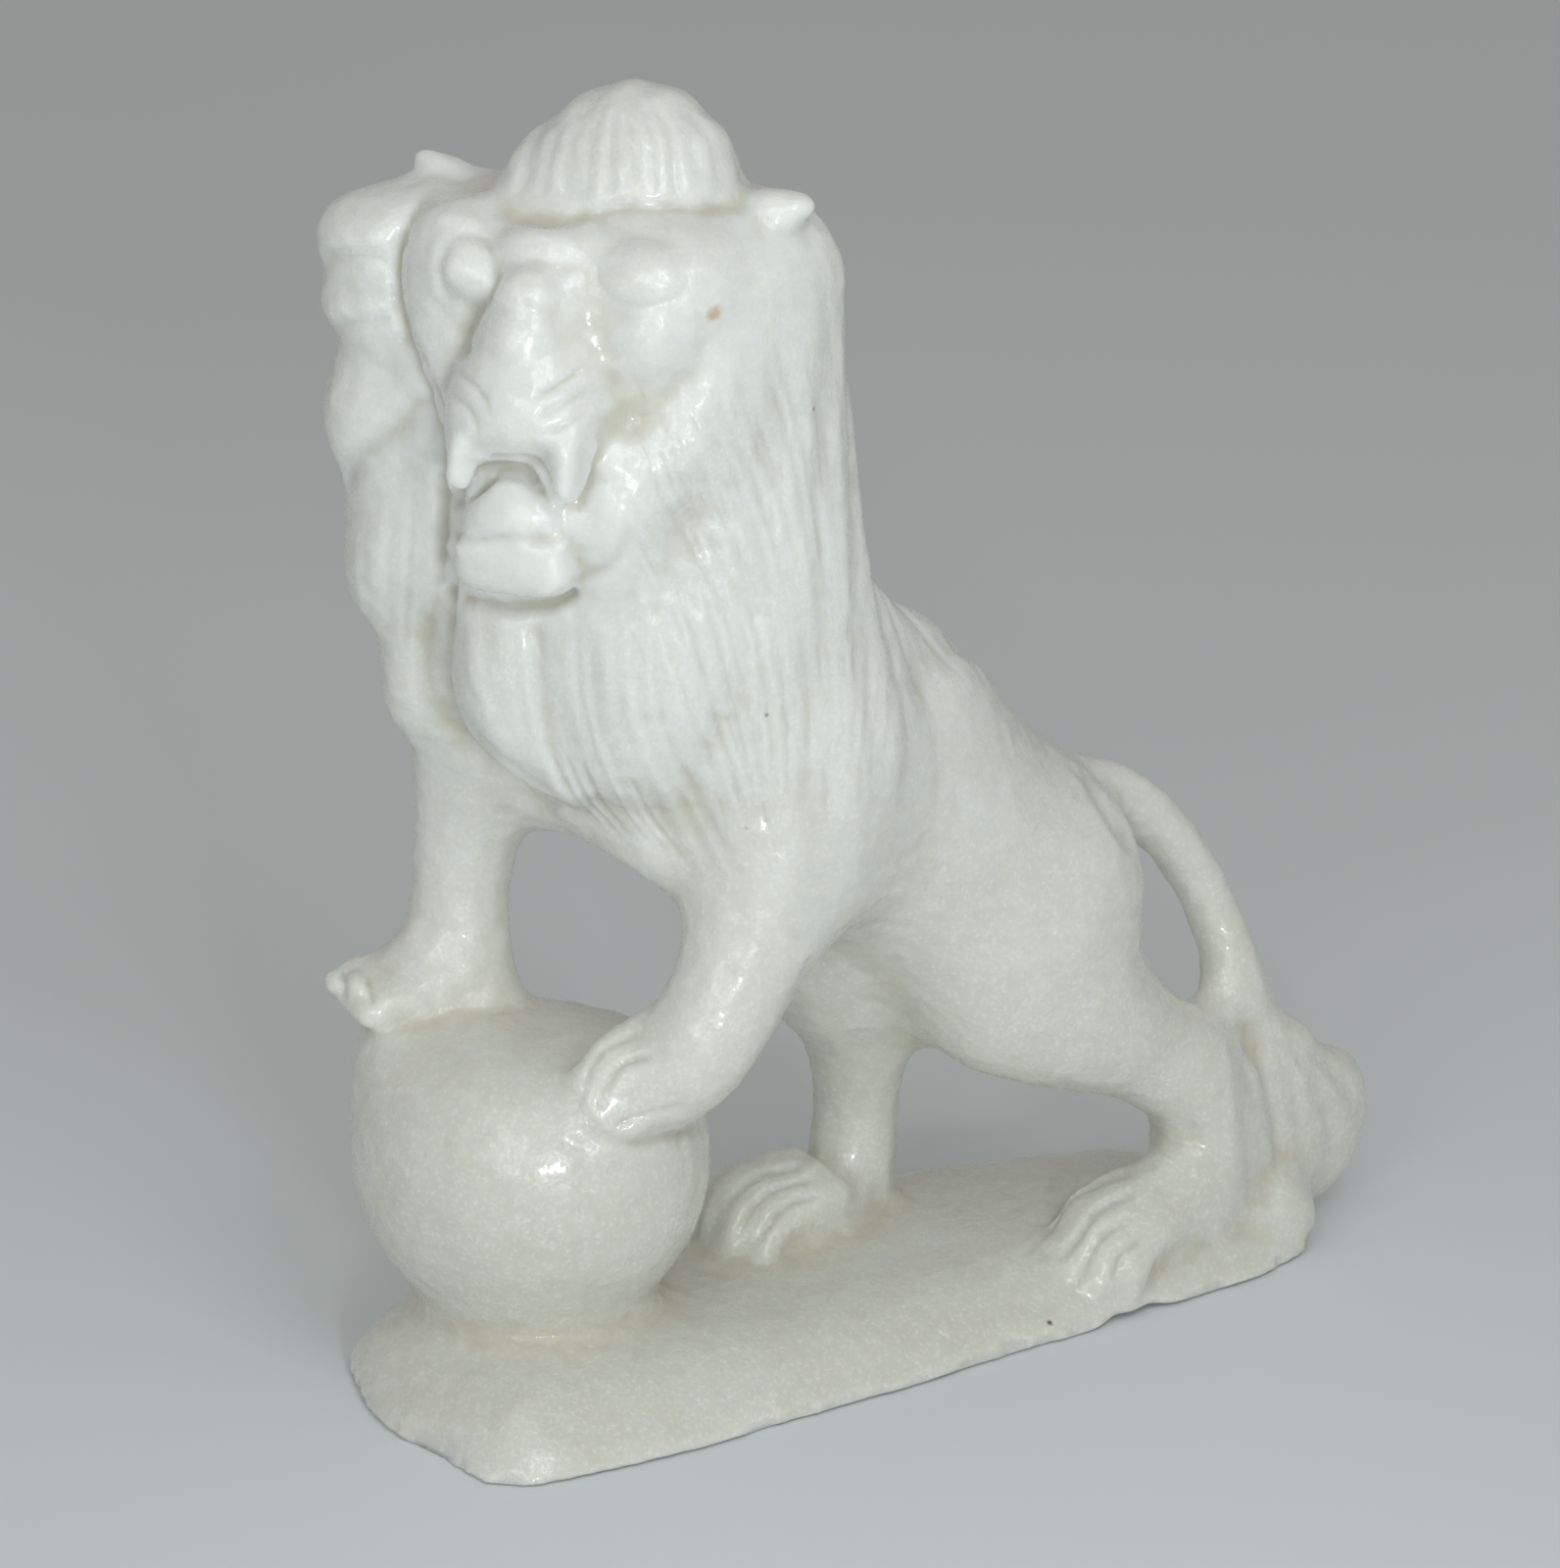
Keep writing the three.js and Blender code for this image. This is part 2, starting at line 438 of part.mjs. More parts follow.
// Fewer facets: edges whose removal hardly moves the surface are closed up, with a limit that slowly grows
function thinned({ points, faces }, wanted) {
  const facesOf = points.map(() => []);
  const errors = points.map(() => new Float64Array(10));
  const alive = faces.map(() => true);
  const crossOf = (a, b, c) => {
    const [ux, uy, uz] = [b[0] - a[0], b[1] - a[1], b[2] - a[2]];
    const [vx, vy, vz] = [c[0] - a[0], c[1] - a[1], c[2] - a[2]];
    return [uy * vz - uz * vy, uz * vx - ux * vz, ux * vy - uy * vx];
  };
  faces.forEach((face, f) => {
    const [a, b, c] = face.map((v) => points[v]);
    const n = crossOf(a, b, c);
    const size = length(...n) || 1e-12;
    const [x, y, z] = n.map((v) => v / size);
    const w = -(x * a[0] + y * a[1] + z * a[2]);
    const plane = [x * x, x * y, x * z, x * w, y * y, y * z, y * w, z * z, z * w, w * w];
    for (const v of face) {
      facesOf[v].push(f);
      plane.forEach((q, i) => (errors[v][i] += q * size));
    }
  });
  const errorAt = (q, [x, y, z]) =>
    q[0] * x * x + 2 * q[1] * x * y + 2 * q[2] * x * z + 2 * q[3] * x + q[4] * y * y + 2 * q[5] * y * z +
    2 * q[6] * y + q[7] * z * z + 2 * q[8] * z + q[9];
  const bestPlace = (q, a, b) => {
    const [c00, c01, c02] = [q[4] * q[7] - q[5] * q[5], q[2] * q[5] - q[1] * q[7], q[1] * q[5] - q[2] * q[4]];
    const [c11, c12, c22] = [q[0] * q[7] - q[2] * q[2], q[1] * q[2] - q[0] * q[5], q[0] * q[4] - q[1] * q[1]];
    const whole = q[0] * c00 + q[1] * c01 + q[2] * c02;
    const half = mixPoint(a, b, 0.5);
    if (whole > 1e-4 * (q[0] + q[4] + q[7]) ** 3) {
      const solved = [
        -(c00 * q[3] + c01 * q[6] + c02 * q[8]) / whole,
        -(c01 * q[3] + c11 * q[6] + c12 * q[8]) / whole,
        -(c02 * q[3] + c12 * q[6] + c22 * q[8]) / whole,
      ];
      const span = length(a[0] - b[0], a[1] - b[1], a[2] - b[2]);
      if (length(solved[0] - half[0], solved[1] - half[1], solved[2] - half[2]) < span) return solved;
    }
    return [half, a, b].reduce((best, place) => (errorAt(q, place) < errorAt(q, best) ? place : best));
  };
  const longestSide = (corners) =>
    Math.max(...corners.map((m, i) => length(...m.map((value, axis) => value - corners[(i + 1) % 3][axis]))));
  const ring = (v) => {
    const found = new Set();
    for (const f of facesOf[v]) for (const w of faces[f]) if (w !== v) found.add(w);
    return found;
  };
  const spoils = (v, other, target) =>
    facesOf[v].some((f) => {
      const face = faces[f];
      if (face.includes(other)) return false;
      const old = face.map((w) => points[w]);
      const moved = face.map((w) => (w === v ? target : points[w]));
      const before = crossOf(...old);
      const after = crossOf(...moved);
      const dot = before[0] * after[0] + before[1] * after[1] + before[2] * after[2];
      if (dot < 0.3 * length(...before) * length(...after)) return true;
      const slender = length(...after) / longestSide(moved) ** 2;
      return slender < 0.1 && slender < length(...before) / longestSide(old) ** 2;
    });
  let count = faces.length;
  const closeUp = (a, b, target, sum) => {
    for (const f of facesOf[b]) {
      if (faces[f].includes(a)) {
        alive[f] = false;
        count -= 1;
        for (const v of faces[f]) if (v !== b) facesOf[v] = facesOf[v].filter((g) => g !== f);
      } else {
        faces[f] = faces[f].map((v) => (v === b ? a : v));
        facesOf[a].push(f);
      }
    }
    facesOf[b] = [];
    points[a] = target;
    errors[a] = sum;
  };
  for (let limit = 1e-5; count > wanted && limit < 50; limit *= 1.3) {
    for (let a = 0; a < points.length && count > wanted; a++) {
      if (!facesOf[a].length) continue;
      for (const b of ring(a)) {
        if (b < a) continue;
        const sum = errors[a].map((v, i) => v + errors[b][i]);
        const target = bestPlace(sum, points[a], points[b]);
        if (errorAt(sum, target) > limit) continue;
        const ringB = ring(b);
        let shared = 0;
        for (const v of ring(a)) if (ringB.has(v)) shared += 1;
        if (shared !== 2 || spoils(a, b, target) || spoils(b, a, target)) continue;
        closeUp(a, b, target, sum);
        break;
      }
    }
  }
  return { points, faces: faces.filter((_, f) => alive[f]) };
}

// The facets as a three.js geometry, with its underside on the ground
function geometryOf({ points, faces }) {
  const grounded = (z) => (Math.abs(z) < 0.05 ? 0 : z);
  const corners = new Float32Array(faces.flatMap((face) => face.flatMap((v) => [points[v][0], points[v][1], grounded(points[v][2])])));
  const geometry = new THREE.BufferGeometry();
  geometry.setAttribute('position', new THREE.BufferAttribute(corners, 3));
  geometry.computeVertexNormals();
  return geometry;
}

const marble = new THREE.MeshStandardMaterial({ name: 'marble', color: 0xe6e5df, roughness: 0.32, metalness: 0 });
const geometry = geometryOf(thinned(surfaceOf(stone), facetCount));
geometry.computeBoundingBox();
const centre = geometry.boundingBox.getCenter(new THREE.Vector3());

const lion = new THREE.Mesh(geometry, marble);
lion.name = 'lion_statue';
lion.position.set(-centre.x, -centre.y, 0);

const statue = new THREE.Group();
statue.name = 'stone_lion';
statue.add(lion);
export default statue;
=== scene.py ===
import bpy
import math
import numpy as np
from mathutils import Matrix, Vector
from mathutils.bvhtree import BVHTree

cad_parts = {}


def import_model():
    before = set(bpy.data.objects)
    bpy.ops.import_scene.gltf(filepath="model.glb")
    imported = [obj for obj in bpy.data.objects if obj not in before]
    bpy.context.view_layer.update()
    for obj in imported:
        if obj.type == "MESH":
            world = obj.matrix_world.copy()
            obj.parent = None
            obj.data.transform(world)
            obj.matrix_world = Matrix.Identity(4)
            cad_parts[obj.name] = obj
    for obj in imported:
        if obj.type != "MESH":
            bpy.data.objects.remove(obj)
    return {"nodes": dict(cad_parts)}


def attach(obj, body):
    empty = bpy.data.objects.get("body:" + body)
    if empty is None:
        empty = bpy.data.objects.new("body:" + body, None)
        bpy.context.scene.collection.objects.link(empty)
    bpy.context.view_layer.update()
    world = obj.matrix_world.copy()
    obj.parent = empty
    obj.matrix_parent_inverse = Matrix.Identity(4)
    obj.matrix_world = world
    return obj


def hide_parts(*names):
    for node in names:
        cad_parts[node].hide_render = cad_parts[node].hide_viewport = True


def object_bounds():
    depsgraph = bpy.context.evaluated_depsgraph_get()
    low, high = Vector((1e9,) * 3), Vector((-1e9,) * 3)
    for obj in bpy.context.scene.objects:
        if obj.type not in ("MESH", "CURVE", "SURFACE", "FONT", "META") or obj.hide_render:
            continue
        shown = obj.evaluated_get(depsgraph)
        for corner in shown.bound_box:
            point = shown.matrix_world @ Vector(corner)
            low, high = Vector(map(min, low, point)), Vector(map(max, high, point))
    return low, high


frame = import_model()
solidLow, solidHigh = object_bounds()
scene = bpy.context.scene
mm = 0.001

# The camera comes first, because most carved lines are drawn through it.
shot = {
    "stand": (425.64, -317.6, 237.1),  # mm, where the camera stands
    "look": (4.91, -11.93, 58.0),
    "focal": 5720.0,  # in picture pixels
    "middle": (796.0, 800.0),
    "frameHeight": 1600.0,
    "sensor": 36.0,  # mm
    "clip": (0.01, 20.0),  # m
}


def addCamera():
    stand = Vector(shot["stand"]) * mm
    look = Vector(shot["look"]) * mm
    data = bpy.data.cameras.new("photoCamera")
    data.sensor_width = shot["sensor"]
    data.lens = shot["focal"] / shot["frameHeight"] * shot["sensor"]
    data.clip_start, data.clip_end = shot["clip"]
    camera = bpy.data.objects.new("photoCamera", data)
    scene.collection.objects.link(camera)
    camera.location = stand
    camera.rotation_euler = (look - stand).to_track_quat("-Z", "Y").to_euler()
    scene.camera = camera
    forward = (look - stand).normalized()
    right = forward.cross(Vector((0, 0, 1))).normalized()
    up = right.cross(forward)
    return stand, forward, right, up


stand, forward, right, up = addCamera()
print("camera placed")


def clearSelection():
    if bpy.context.object and bpy.context.object.mode != "OBJECT":
        bpy.ops.object.mode_set(mode="OBJECT")
    bpy.ops.object.select_all(action="DESELECT")


def pick(thing):
    clearSelection()
    thing.select_set(True)
    bpy.context.view_layer.objects.active = thing


def applyModifier(thing, kind, **settings):
    pick(thing)
    added = thing.modifiers.new(kind.title(), kind)
    for name, value in settings.items():
        setattr(added, name, value)
    bpy.ops.object.modifier_apply(modifier=added.name)


def bakePlace(thing):
    pick(thing)
    bpy.ops.object.transform_apply(location=True, rotation=True, scale=True)


# The rough block is the solid's own form, closed and evened out.
block = {
    "weld": 0.002,  # mm
    "roundLevels": 2,
    "grain": 0.40,  # mm between the points of the first skin
    "easeTimes": 10,
    "fineGrain": 0.36,  # mm, once the forms are carved
    "fineEase": 2,
    "easeShare": 0.5,
    "mostTriangles": 192000,
}


def reskin(thing, grain, times):
    # a fresh even skin, with a point every so many mm
    applyModifier(thing, "REMESH", mode="VOXEL", voxel_size=grain * mm, adaptivity=0.0)
    applyModifier(thing, "SMOOTH", factor=block["easeShare"], iterations=times)


def roughBlock():
    node = frame["nodes"]["lion_statue"]
    stone = node.copy()
    stone.data = node.data.copy()
    stone.name = "marble_lion"
    for tag in [key for key in stone.keys() if key.startswith("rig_")]:
        del stone[tag]
    stone.parent = None
    scene.collection.objects.link(stone)
    pick(stone)
    bpy.ops.object.mode_set(mode="EDIT")
    bpy.ops.mesh.select_all(action="SELECT")
    bpy.ops.mesh.remove_doubles(threshold=block["weld"] * mm)
    bpy.ops.object.mode_set(mode="OBJECT")
    applyModifier(stone, "SUBSURF", levels=block["roundLevels"], render_levels=block["roundLevels"])
    reskin(stone, block["grain"], block["easeTimes"])
    return stone


stone = roughBlock()
print("rough block:", len(stone.data.vertices), "points")


def soft(values):
    share = np.clip(values, 0, 1)
    return share * share * (3 - 2 * share)


def skinPoints(mesh):
    # every point of the skin in mm, and the way out of the stone there
    places = np.empty(len(mesh.vertices) * 3)
    mesh.vertices.foreach_get("co", places)
    outward = np.empty(len(mesh.vertices) * 3, np.float32)
    mesh.vertex_normals.foreach_get("vector", outward)
    return places.reshape(-1, 3) / mm, outward.reshape(-1, 3).astype(float)


class Neighbours:
    # the points that share an edge, to even out places with
    def __init__(self, mesh):
        ends = np.empty(len(mesh.edges) * 2, np.int32)
        mesh.edges.foreach_get("vertices", ends)
        self.count = len(mesh.vertices)
        self.first, self.last = ends.reshape(-1, 2).T
        self.met = np.bincount(ends, minlength=self.count)[:, None]

    def mean(self, places):
        total = np.empty_like(places)
        for axis in range(3):
            total[:, axis] = np.bincount(self.first, places[self.last, axis], self.count)
            total[:, axis] += np.bincount(self.last, places[self.first, axis], self.count)
        return total / self.met


def smoothLine(marks, step):
    # a rounded line through the marks, with a place every step or so
    marks = [np.asarray(m, float) for m in marks]
    if len(marks) == 2:
        marks = [marks[0], (marks[0] + marks[1]) / 2, marks[1]]
    padded = [2 * marks[0] - marks[1]] + marks + [2 * marks[-1] - marks[-2]]
    line = []
    for a, b, c, d in zip(padded, padded[1:], padded[2:], padded[3:]):
        pieces = max(2, int(np.linalg.norm(c - b) / step))
        bend = 2 * a - 5 * b + 4 * c - d
        twist = 3 * b - a - 3 * c + d
        for t in np.arange(pieces) / pieces:
            line.append(0.5 * (2 * b + (c - a) * t + bend * t**2 + twist * t**3))
    line.append(marks[-1])
    return np.array(line)


chisel = {
    "faintFrom": 0.06,  # strokes fade out on skin that turns from the camera past this cosine
    "faintOver": 0.24,
    "hiddenBelow": 0.02,
    "lift": 0.25,  # mm off the skin, from where a point looks for the camera
    "skip": 0.3,
    "sight": 160.0,
    "easeShare": 0.7,
    "easeEdge": 1.5,  # how steeply the easing ends at an oval's edge
    "pictureStep": 8.0,  # pixels between the places of a drawn line
    "stoneStep": 1.0,  # mm between the places of a laid one
    "guideStep": 6.0,
    "familyPlaces": 9,  # places along each stroke of a family
    "widthSpread": (0.8, 1.2),
    "depthSpread": (0.7, 1.15),
    "underside": 0.05,  # mm; what lies lower stays flat
}


class Carving:
    # Gathers raised pads and cut strokes and then moves every point of the skin once, along its normal.
    # Marks of two numbers are pixels of the picture (1592 by 1600), marks of three are millimetres.
    def __init__(self, thing):
        self.thing = thing
        mesh = thing.data
        self.places, self.outward = skinPoints(mesh)
        mesh.calc_loop_triangles()
        corners = np.empty(len(mesh.loop_triangles) * 3, np.int32)
        mesh.loop_triangles.foreach_get("vertices", corners)
        self.tree = BVHTree.FromPolygons(self.places.tolist(), corners.reshape(-1, 3).tolist())
        self.raised = np.zeros(len(self.places))
        self.cut = np.zeros(len(self.places))
        self.watch()

    def watch(self):
        # where each point falls in the picture, and whether the camera sees it
        eye = np.array(shot["stand"])
        away = self.places - eye
        deep = away @ np.array(forward)
        self.px = shot["middle"][0] + shot["focal"] * (away @ np.array(right)) / deep
        self.py = shot["middle"][1] - shot["focal"] * (away @ np.array(up)) / deep
        facing = -(away * self.outward).sum(1) / np.linalg.norm(away, axis=1)
        self.open = soft((facing - chisel["faintFrom"]) / chisel["faintOver"])
        self.seen = np.zeros(len(away), bool)
        for n in np.nonzero(facing > chisel["hiddenBelow"])[0]:
            start = Vector(self.places[n] + self.outward[n] * chisel["lift"])
            toward = (Vector(shot["stand"]) - start).normalized()
            hit = self.tree.ray_cast(start + toward * chisel["skip"], toward, chisel["sight"])
            self.seen[n] = hit[0] is None

    def ease(self, spots, rounds):
        # evens out oval patches of the picture
        share = np.zeros(len(self.px))
        for x, y, wide, high in spots:
            off = np.hypot((self.px - x) / wide, (self.py - y) / high)
            share = np.maximum(share, soft(chisel["easeEdge"] - chisel["easeEdge"] * off))
        share = (share * self.seen * chisel["easeShare"])[:, None]
        beside = Neighbours(self.thing.data)
        for turn in range(rounds):
            self.places += share * (beside.mean(self.places) - self.places)

    def gather(self, line, reach):
        # the points near a drawn or laid line, how far off they are and how far along it
        if line.shape[1] == 2:
            inside = self.seen & (self.px > line[:, 0].min() - reach) & (self.px < line[:, 0].max() + reach)
            inside &= (self.py > line[:, 1].min() - reach) & (self.py < line[:, 1].max() + reach)
            near = np.nonzero(inside)[0]
            spots = np.stack([self.px[near], self.py[near]], 1)
        else:
            low, high = line.min(0) - reach, line.max(0) + reach
            near = np.nonzero(((self.places > low) & (self.places < high)).all(1))[0]
            spots = self.places[near]
        off = np.full(len(near), np.inf)
        along = np.zeros(len(near))
        for first, (a, b) in enumerate(zip(line, line[1:])):
            side = b - a
            t = np.clip(((spots - a) @ side) / max(side @ side, 1e-9), 0, 1)
            gap = np.linalg.norm(spots - (a + t[:, None] * side), axis=1)
            closer = gap < off
            off[closer] = gap[closer]
            along[closer] = (first + t[closer]) / (len(line) - 1)
        return near, off, along

    def stroke(self, marks, width, amount, fade):
        # a soft stroke that thins out at both ends and on skin that turns away from the camera
        line = smoothLine(marks, chisel["pictureStep"] if len(marks[0]) == 2 else chisel["stoneStep"])
        near, off, along = self.gather(line, width)
        ends = np.clip(along / fade[0], 0, 1) * np.clip((1 - along) / fade[1], 0, 1)
        turned = self.open[near] if line.shape[1] == 2 else 1.0
        return near, amount * soft(1 - off / width) * np.sqrt(ends) * turned

    def groove(self, marks, width, depth, fade):
        near, amount = self.stroke(marks, width, depth, fade)
        self.cut[near] = np.maximum(self.cut[near], amount)

    def ridge(self, marks, width, height, fade):
        near, amount = self.stroke(marks, width, height, fade)
        self.raised[near] = np.maximum(self.raised[near], amount)

    def pad(self, x, y, wide, high, height, turn, firm):
        # a raised oval; firm below one gives it a steeper edge
        c, s = math.cos(math.radians(turn)), math.sin(math.radians(turn))
        u = ((self.px - x) * c + (self.py - y) * s) / wide
        v = ((self.py - y) * c - (self.px - x) * s) / high
        share = np.clip(1 - u * u - v * v, 0, 1) ** firm
        self.raised += np.where(self.seen, height * share * self.open, 0)

    def area(self, outline, height, edge):
        # raises (or sinks, below zero) the patch inside an outline, with an edge so many pixels wide
        ring = np.array(outline + outline[:1], float)
        near, off, along = self.gather(ring, edge)
        inside = np.zeros(len(self.px), bool)
        for (x1, y1), (x2, y2) in zip(ring, ring[1:]):
            crosses = (self.py < y1) != (self.py < y2)
            inside ^= crosses & (self.px < x1 + (self.py - y1) * (x2 - x1) / (y2 - y1))
        amount = np.where(inside & self.seen, 1.0, 0.0)
        signed = np.where(inside[near], off, -off)
        amount[near] = soft(0.5 + signed / (2 * edge))
        self.raised += height * amount * self.open

    def family(self, left, right, count, width, depth, fade, jitter, seed):
        # strokes in the picture that turn from one guide line into the other
        chance = np.random.default_rng(seed)
        guides = []
        for marks in (left, right):
            line = smoothLine(marks, chisel["guideStep"])
            guides.append(line[np.linspace(0, len(line) - 1, chisel["familyPlaces"]).astype(int)])
        for n in range(count):
            share = (n + jitter * chance.uniform(-0.5, 0.5)) / (count - 1)
            marks = guides[0] * (1 - share) + guides[1] * share
            wide, deep = chance.uniform(*chisel["widthSpread"]), chance.uniform(*chisel["depthSpread"])
            self.groove(list(marks), width * wide, depth * deep, fade)

    def finish(self):
        moved = self.places + self.outward * (self.raised - self.cut)[:, None]
        low, high = np.array(solidLow) / mm, np.array(solidHigh) / mm
        moved = np.clip(moved, low, high)
        foot = chisel["underside"]
        moved[:, 2] = np.where(self.places[:, 2] < foot, self.places[:, 2], np.maximum(moved[:, 2], foot))
        self.thing.data.vertices.foreach_set("co", (moved * mm).ravel())
        self.thing.data.update()


# Forms that stand proud or lie deep, most of them on the face, by their places in the picture.
carvedForms = {
    "pads": [
        # place, half width, half height, height in mm, turn, steepness
        (478, 274, 25, 31, 0.75, 0, 0.8),  # far eyeball
        (536, 297, 34, 26, 0.6, 0, 1.0),  # upper bump of the bridge
        (527, 343, 40, 28, 0.7, 0, 1.0),  # lower bump of the bridge
        (652, 277, 46, 34, 0.6, 0, 1.0),  # near eye
        (668, 352, 56, 36, 0.3, -8, 1.2),  # cheek
        (612, 536, 38, 42, 0.8, 20, 0.9),  # corner of the lower lip
        (516, 528, 56, 28, 0.7, 0, 0.8),  # tongue
        (462, 556, 9, 9, 0.7, 0, 0.7),  # small lower teeth
        (572, 558, 8, 8, 0.6, 0, 0.7),
        (338, 1002, 14, 13, 0.8, 0, 0.7),  # knobs of the far forepaw
        (363, 1006, 14, 15, 0.8, 0, 0.7),
    ],
    "ridges": [
        # line, width in pixels, height in mm
        ([(470, 440), (464, 475), (458, 503)], 14, 0.7),  # far fang
        ([(576, 450), (576, 480), (573, 516)], 17, 0.7),  # near fang
        ([(480, 466), (512, 462), (548, 468)], 10, 0.6),  # edge of the upper lip
        ([(512, 246), (550, 245), (588, 250)], 20, 0.5),  # bar across the forehead
        ([(440, 222), (462, 224), (490, 232)], 16, 0.4),  # far brow
    ],
    "grooves": [
        # line, width in pixels, depth in mm
        # far edge of the face
        ([(436, 200), (414, 226), (405, 262), (405, 302), (413, 340), (428, 372), (441, 400)], 10, 0.8),
        ([(428, 372), (441, 402), (447, 435), (450, 475), (452, 520), (450, 565), (446, 606)], 11, 0.9),
        # round the bridge, under the topknot and below the cheek
        ([(508, 262), (503, 282), (492, 304), (478, 328), (470, 350), (474, 366)], 12, 0.9),
        ([(500, 272), (535, 270), (570, 272), (604, 276)], 10, 0.25),
        ([(506, 214), (535, 222), (570, 224), (602, 217), (645, 212), (695, 211), (735, 211), (768, 204)],
         14, 0.55),
        ([(738, 320), (712, 380), (665, 418), (622, 440), (600, 460)], 28, 0.6),
        # beside the near fang, under and over the lower lip, beside the far fang, and the corner of the mouth
        ([(606, 446), (598, 468), (595, 494), (588, 522)], 15, 0.45),
        ([(452, 602), (480, 613), (520, 619), (560, 618), (590, 604)], 12, 1.3),
        ([(462, 552), (518, 548), (568, 551)], 9, 0.55),
        ([(452, 520), (462, 520), (474, 512)], 9, 0.3),
        ([(644, 532), (634, 562), (612, 584), (584, 594)], 12, 0.4),
        # edge and fold of the beard
        ([(448, 600), (436, 640), (433, 676), (441, 712), (466, 747), (502, 778), (541, 806), (574, 830)],
         20, 0.75),
        ([(549, 632), (552, 690), (559, 740), (570, 786), (584, 818)], 14, 0.5),
        # between the lobes on the far side of the mane
        ([(322, 262), (352, 263), (398, 262)], 18, 0.6),
        ([(334, 338), (362, 328), (402, 326)], 13, 0.45),
        ([(328, 508), (352, 482), (385, 455), (412, 432), (430, 402)], 24, 0.8),
        # shoulder, back edge of the mane, root of the tail, and hind leg against the tuft
        ([(838, 780), (843, 850), (836, 920), (812, 962)], 36, 0.5),
        ([(864, 262), (882, 380), (890, 470), (906, 540), (934, 606)], 8, 0.3),
        ([(1106, 782), (1136, 832), (1160, 870)], 14, 0.8),
        ([(1276, 1040), (1280, 1110), (1284, 1190), (1288, 1236)], 26, 0.8),
        # under the near forepaw and behind the far hind paw
        ([(584, 1106), (592, 1136), (616, 1158), (650, 1168), (690, 1160), (728, 1144)], 11, 0.5),
        ([(836, 1166), (812, 1192), (780, 1200)], 12, 0.3),
    ],
    "ridgeFade": (0.25, 0.25),
    "grooveFade": (0.15, 0.15),
}

# The hollow of the mouth, between the fangs.
mouthArch = {
    "outline": [(484, 495), (490, 481), (502, 473), (522, 472), (543, 480), (551, 495), (560, 510), (548, 503),
                (530, 490), (506, 489), (492, 498), (478, 512)],
    "depth": -2.2,
    "edge": 5.0,
}

# Oval places of the picture, with half sizes, where the block's facets are rubbed flat first.
evened = {
    "rounds": 70,
    "spots": [
        (600, 345, 40, 80), (700, 420, 60, 40), (688, 347, 16, 14), (518, 582, 76, 30),  # face
        (640, 150, 100, 60), (720, 620, 120, 120),  # topknot and mane
        (650, 1106, 66, 56), (790, 1215, 60, 44), (1120, 1250, 84, 60),  # paws
        (1230, 1060, 60, 50), (1284, 1130, 44, 110),  # hind leg
        (1318, 1224, 64, 64), (1345, 1125, 56, 76),  # tuft
        (566, 1328, 130, 26), (500, 1500, 80, 60),  # under the ball and the base in front
    ],
}


def carveForms(work):
    work.ease(evened["spots"], evened["rounds"])
    for x, y, wide, high, height, turn, firm in carvedForms["pads"]:
        work.pad(x, y, wide, high, height, turn, firm)
    for marks, width, height in carvedForms["ridges"]:
        work.ridge(marks, width, height, carvedForms["ridgeFade"])
    for marks, width, depth in carvedForms["grooves"]:
        work.groove(marks, width, depth, carvedForms["grooveFade"])
    work.area(mouthArch["outline"], mouthArch["depth"], mouthArch["edge"])


work = Carving(stone)
carveForms(work)
work.finish()
reskin(stone, block["fineGrain"], block["fineEase"])
print("forms carved:", len(stone.data.vertices), "points")

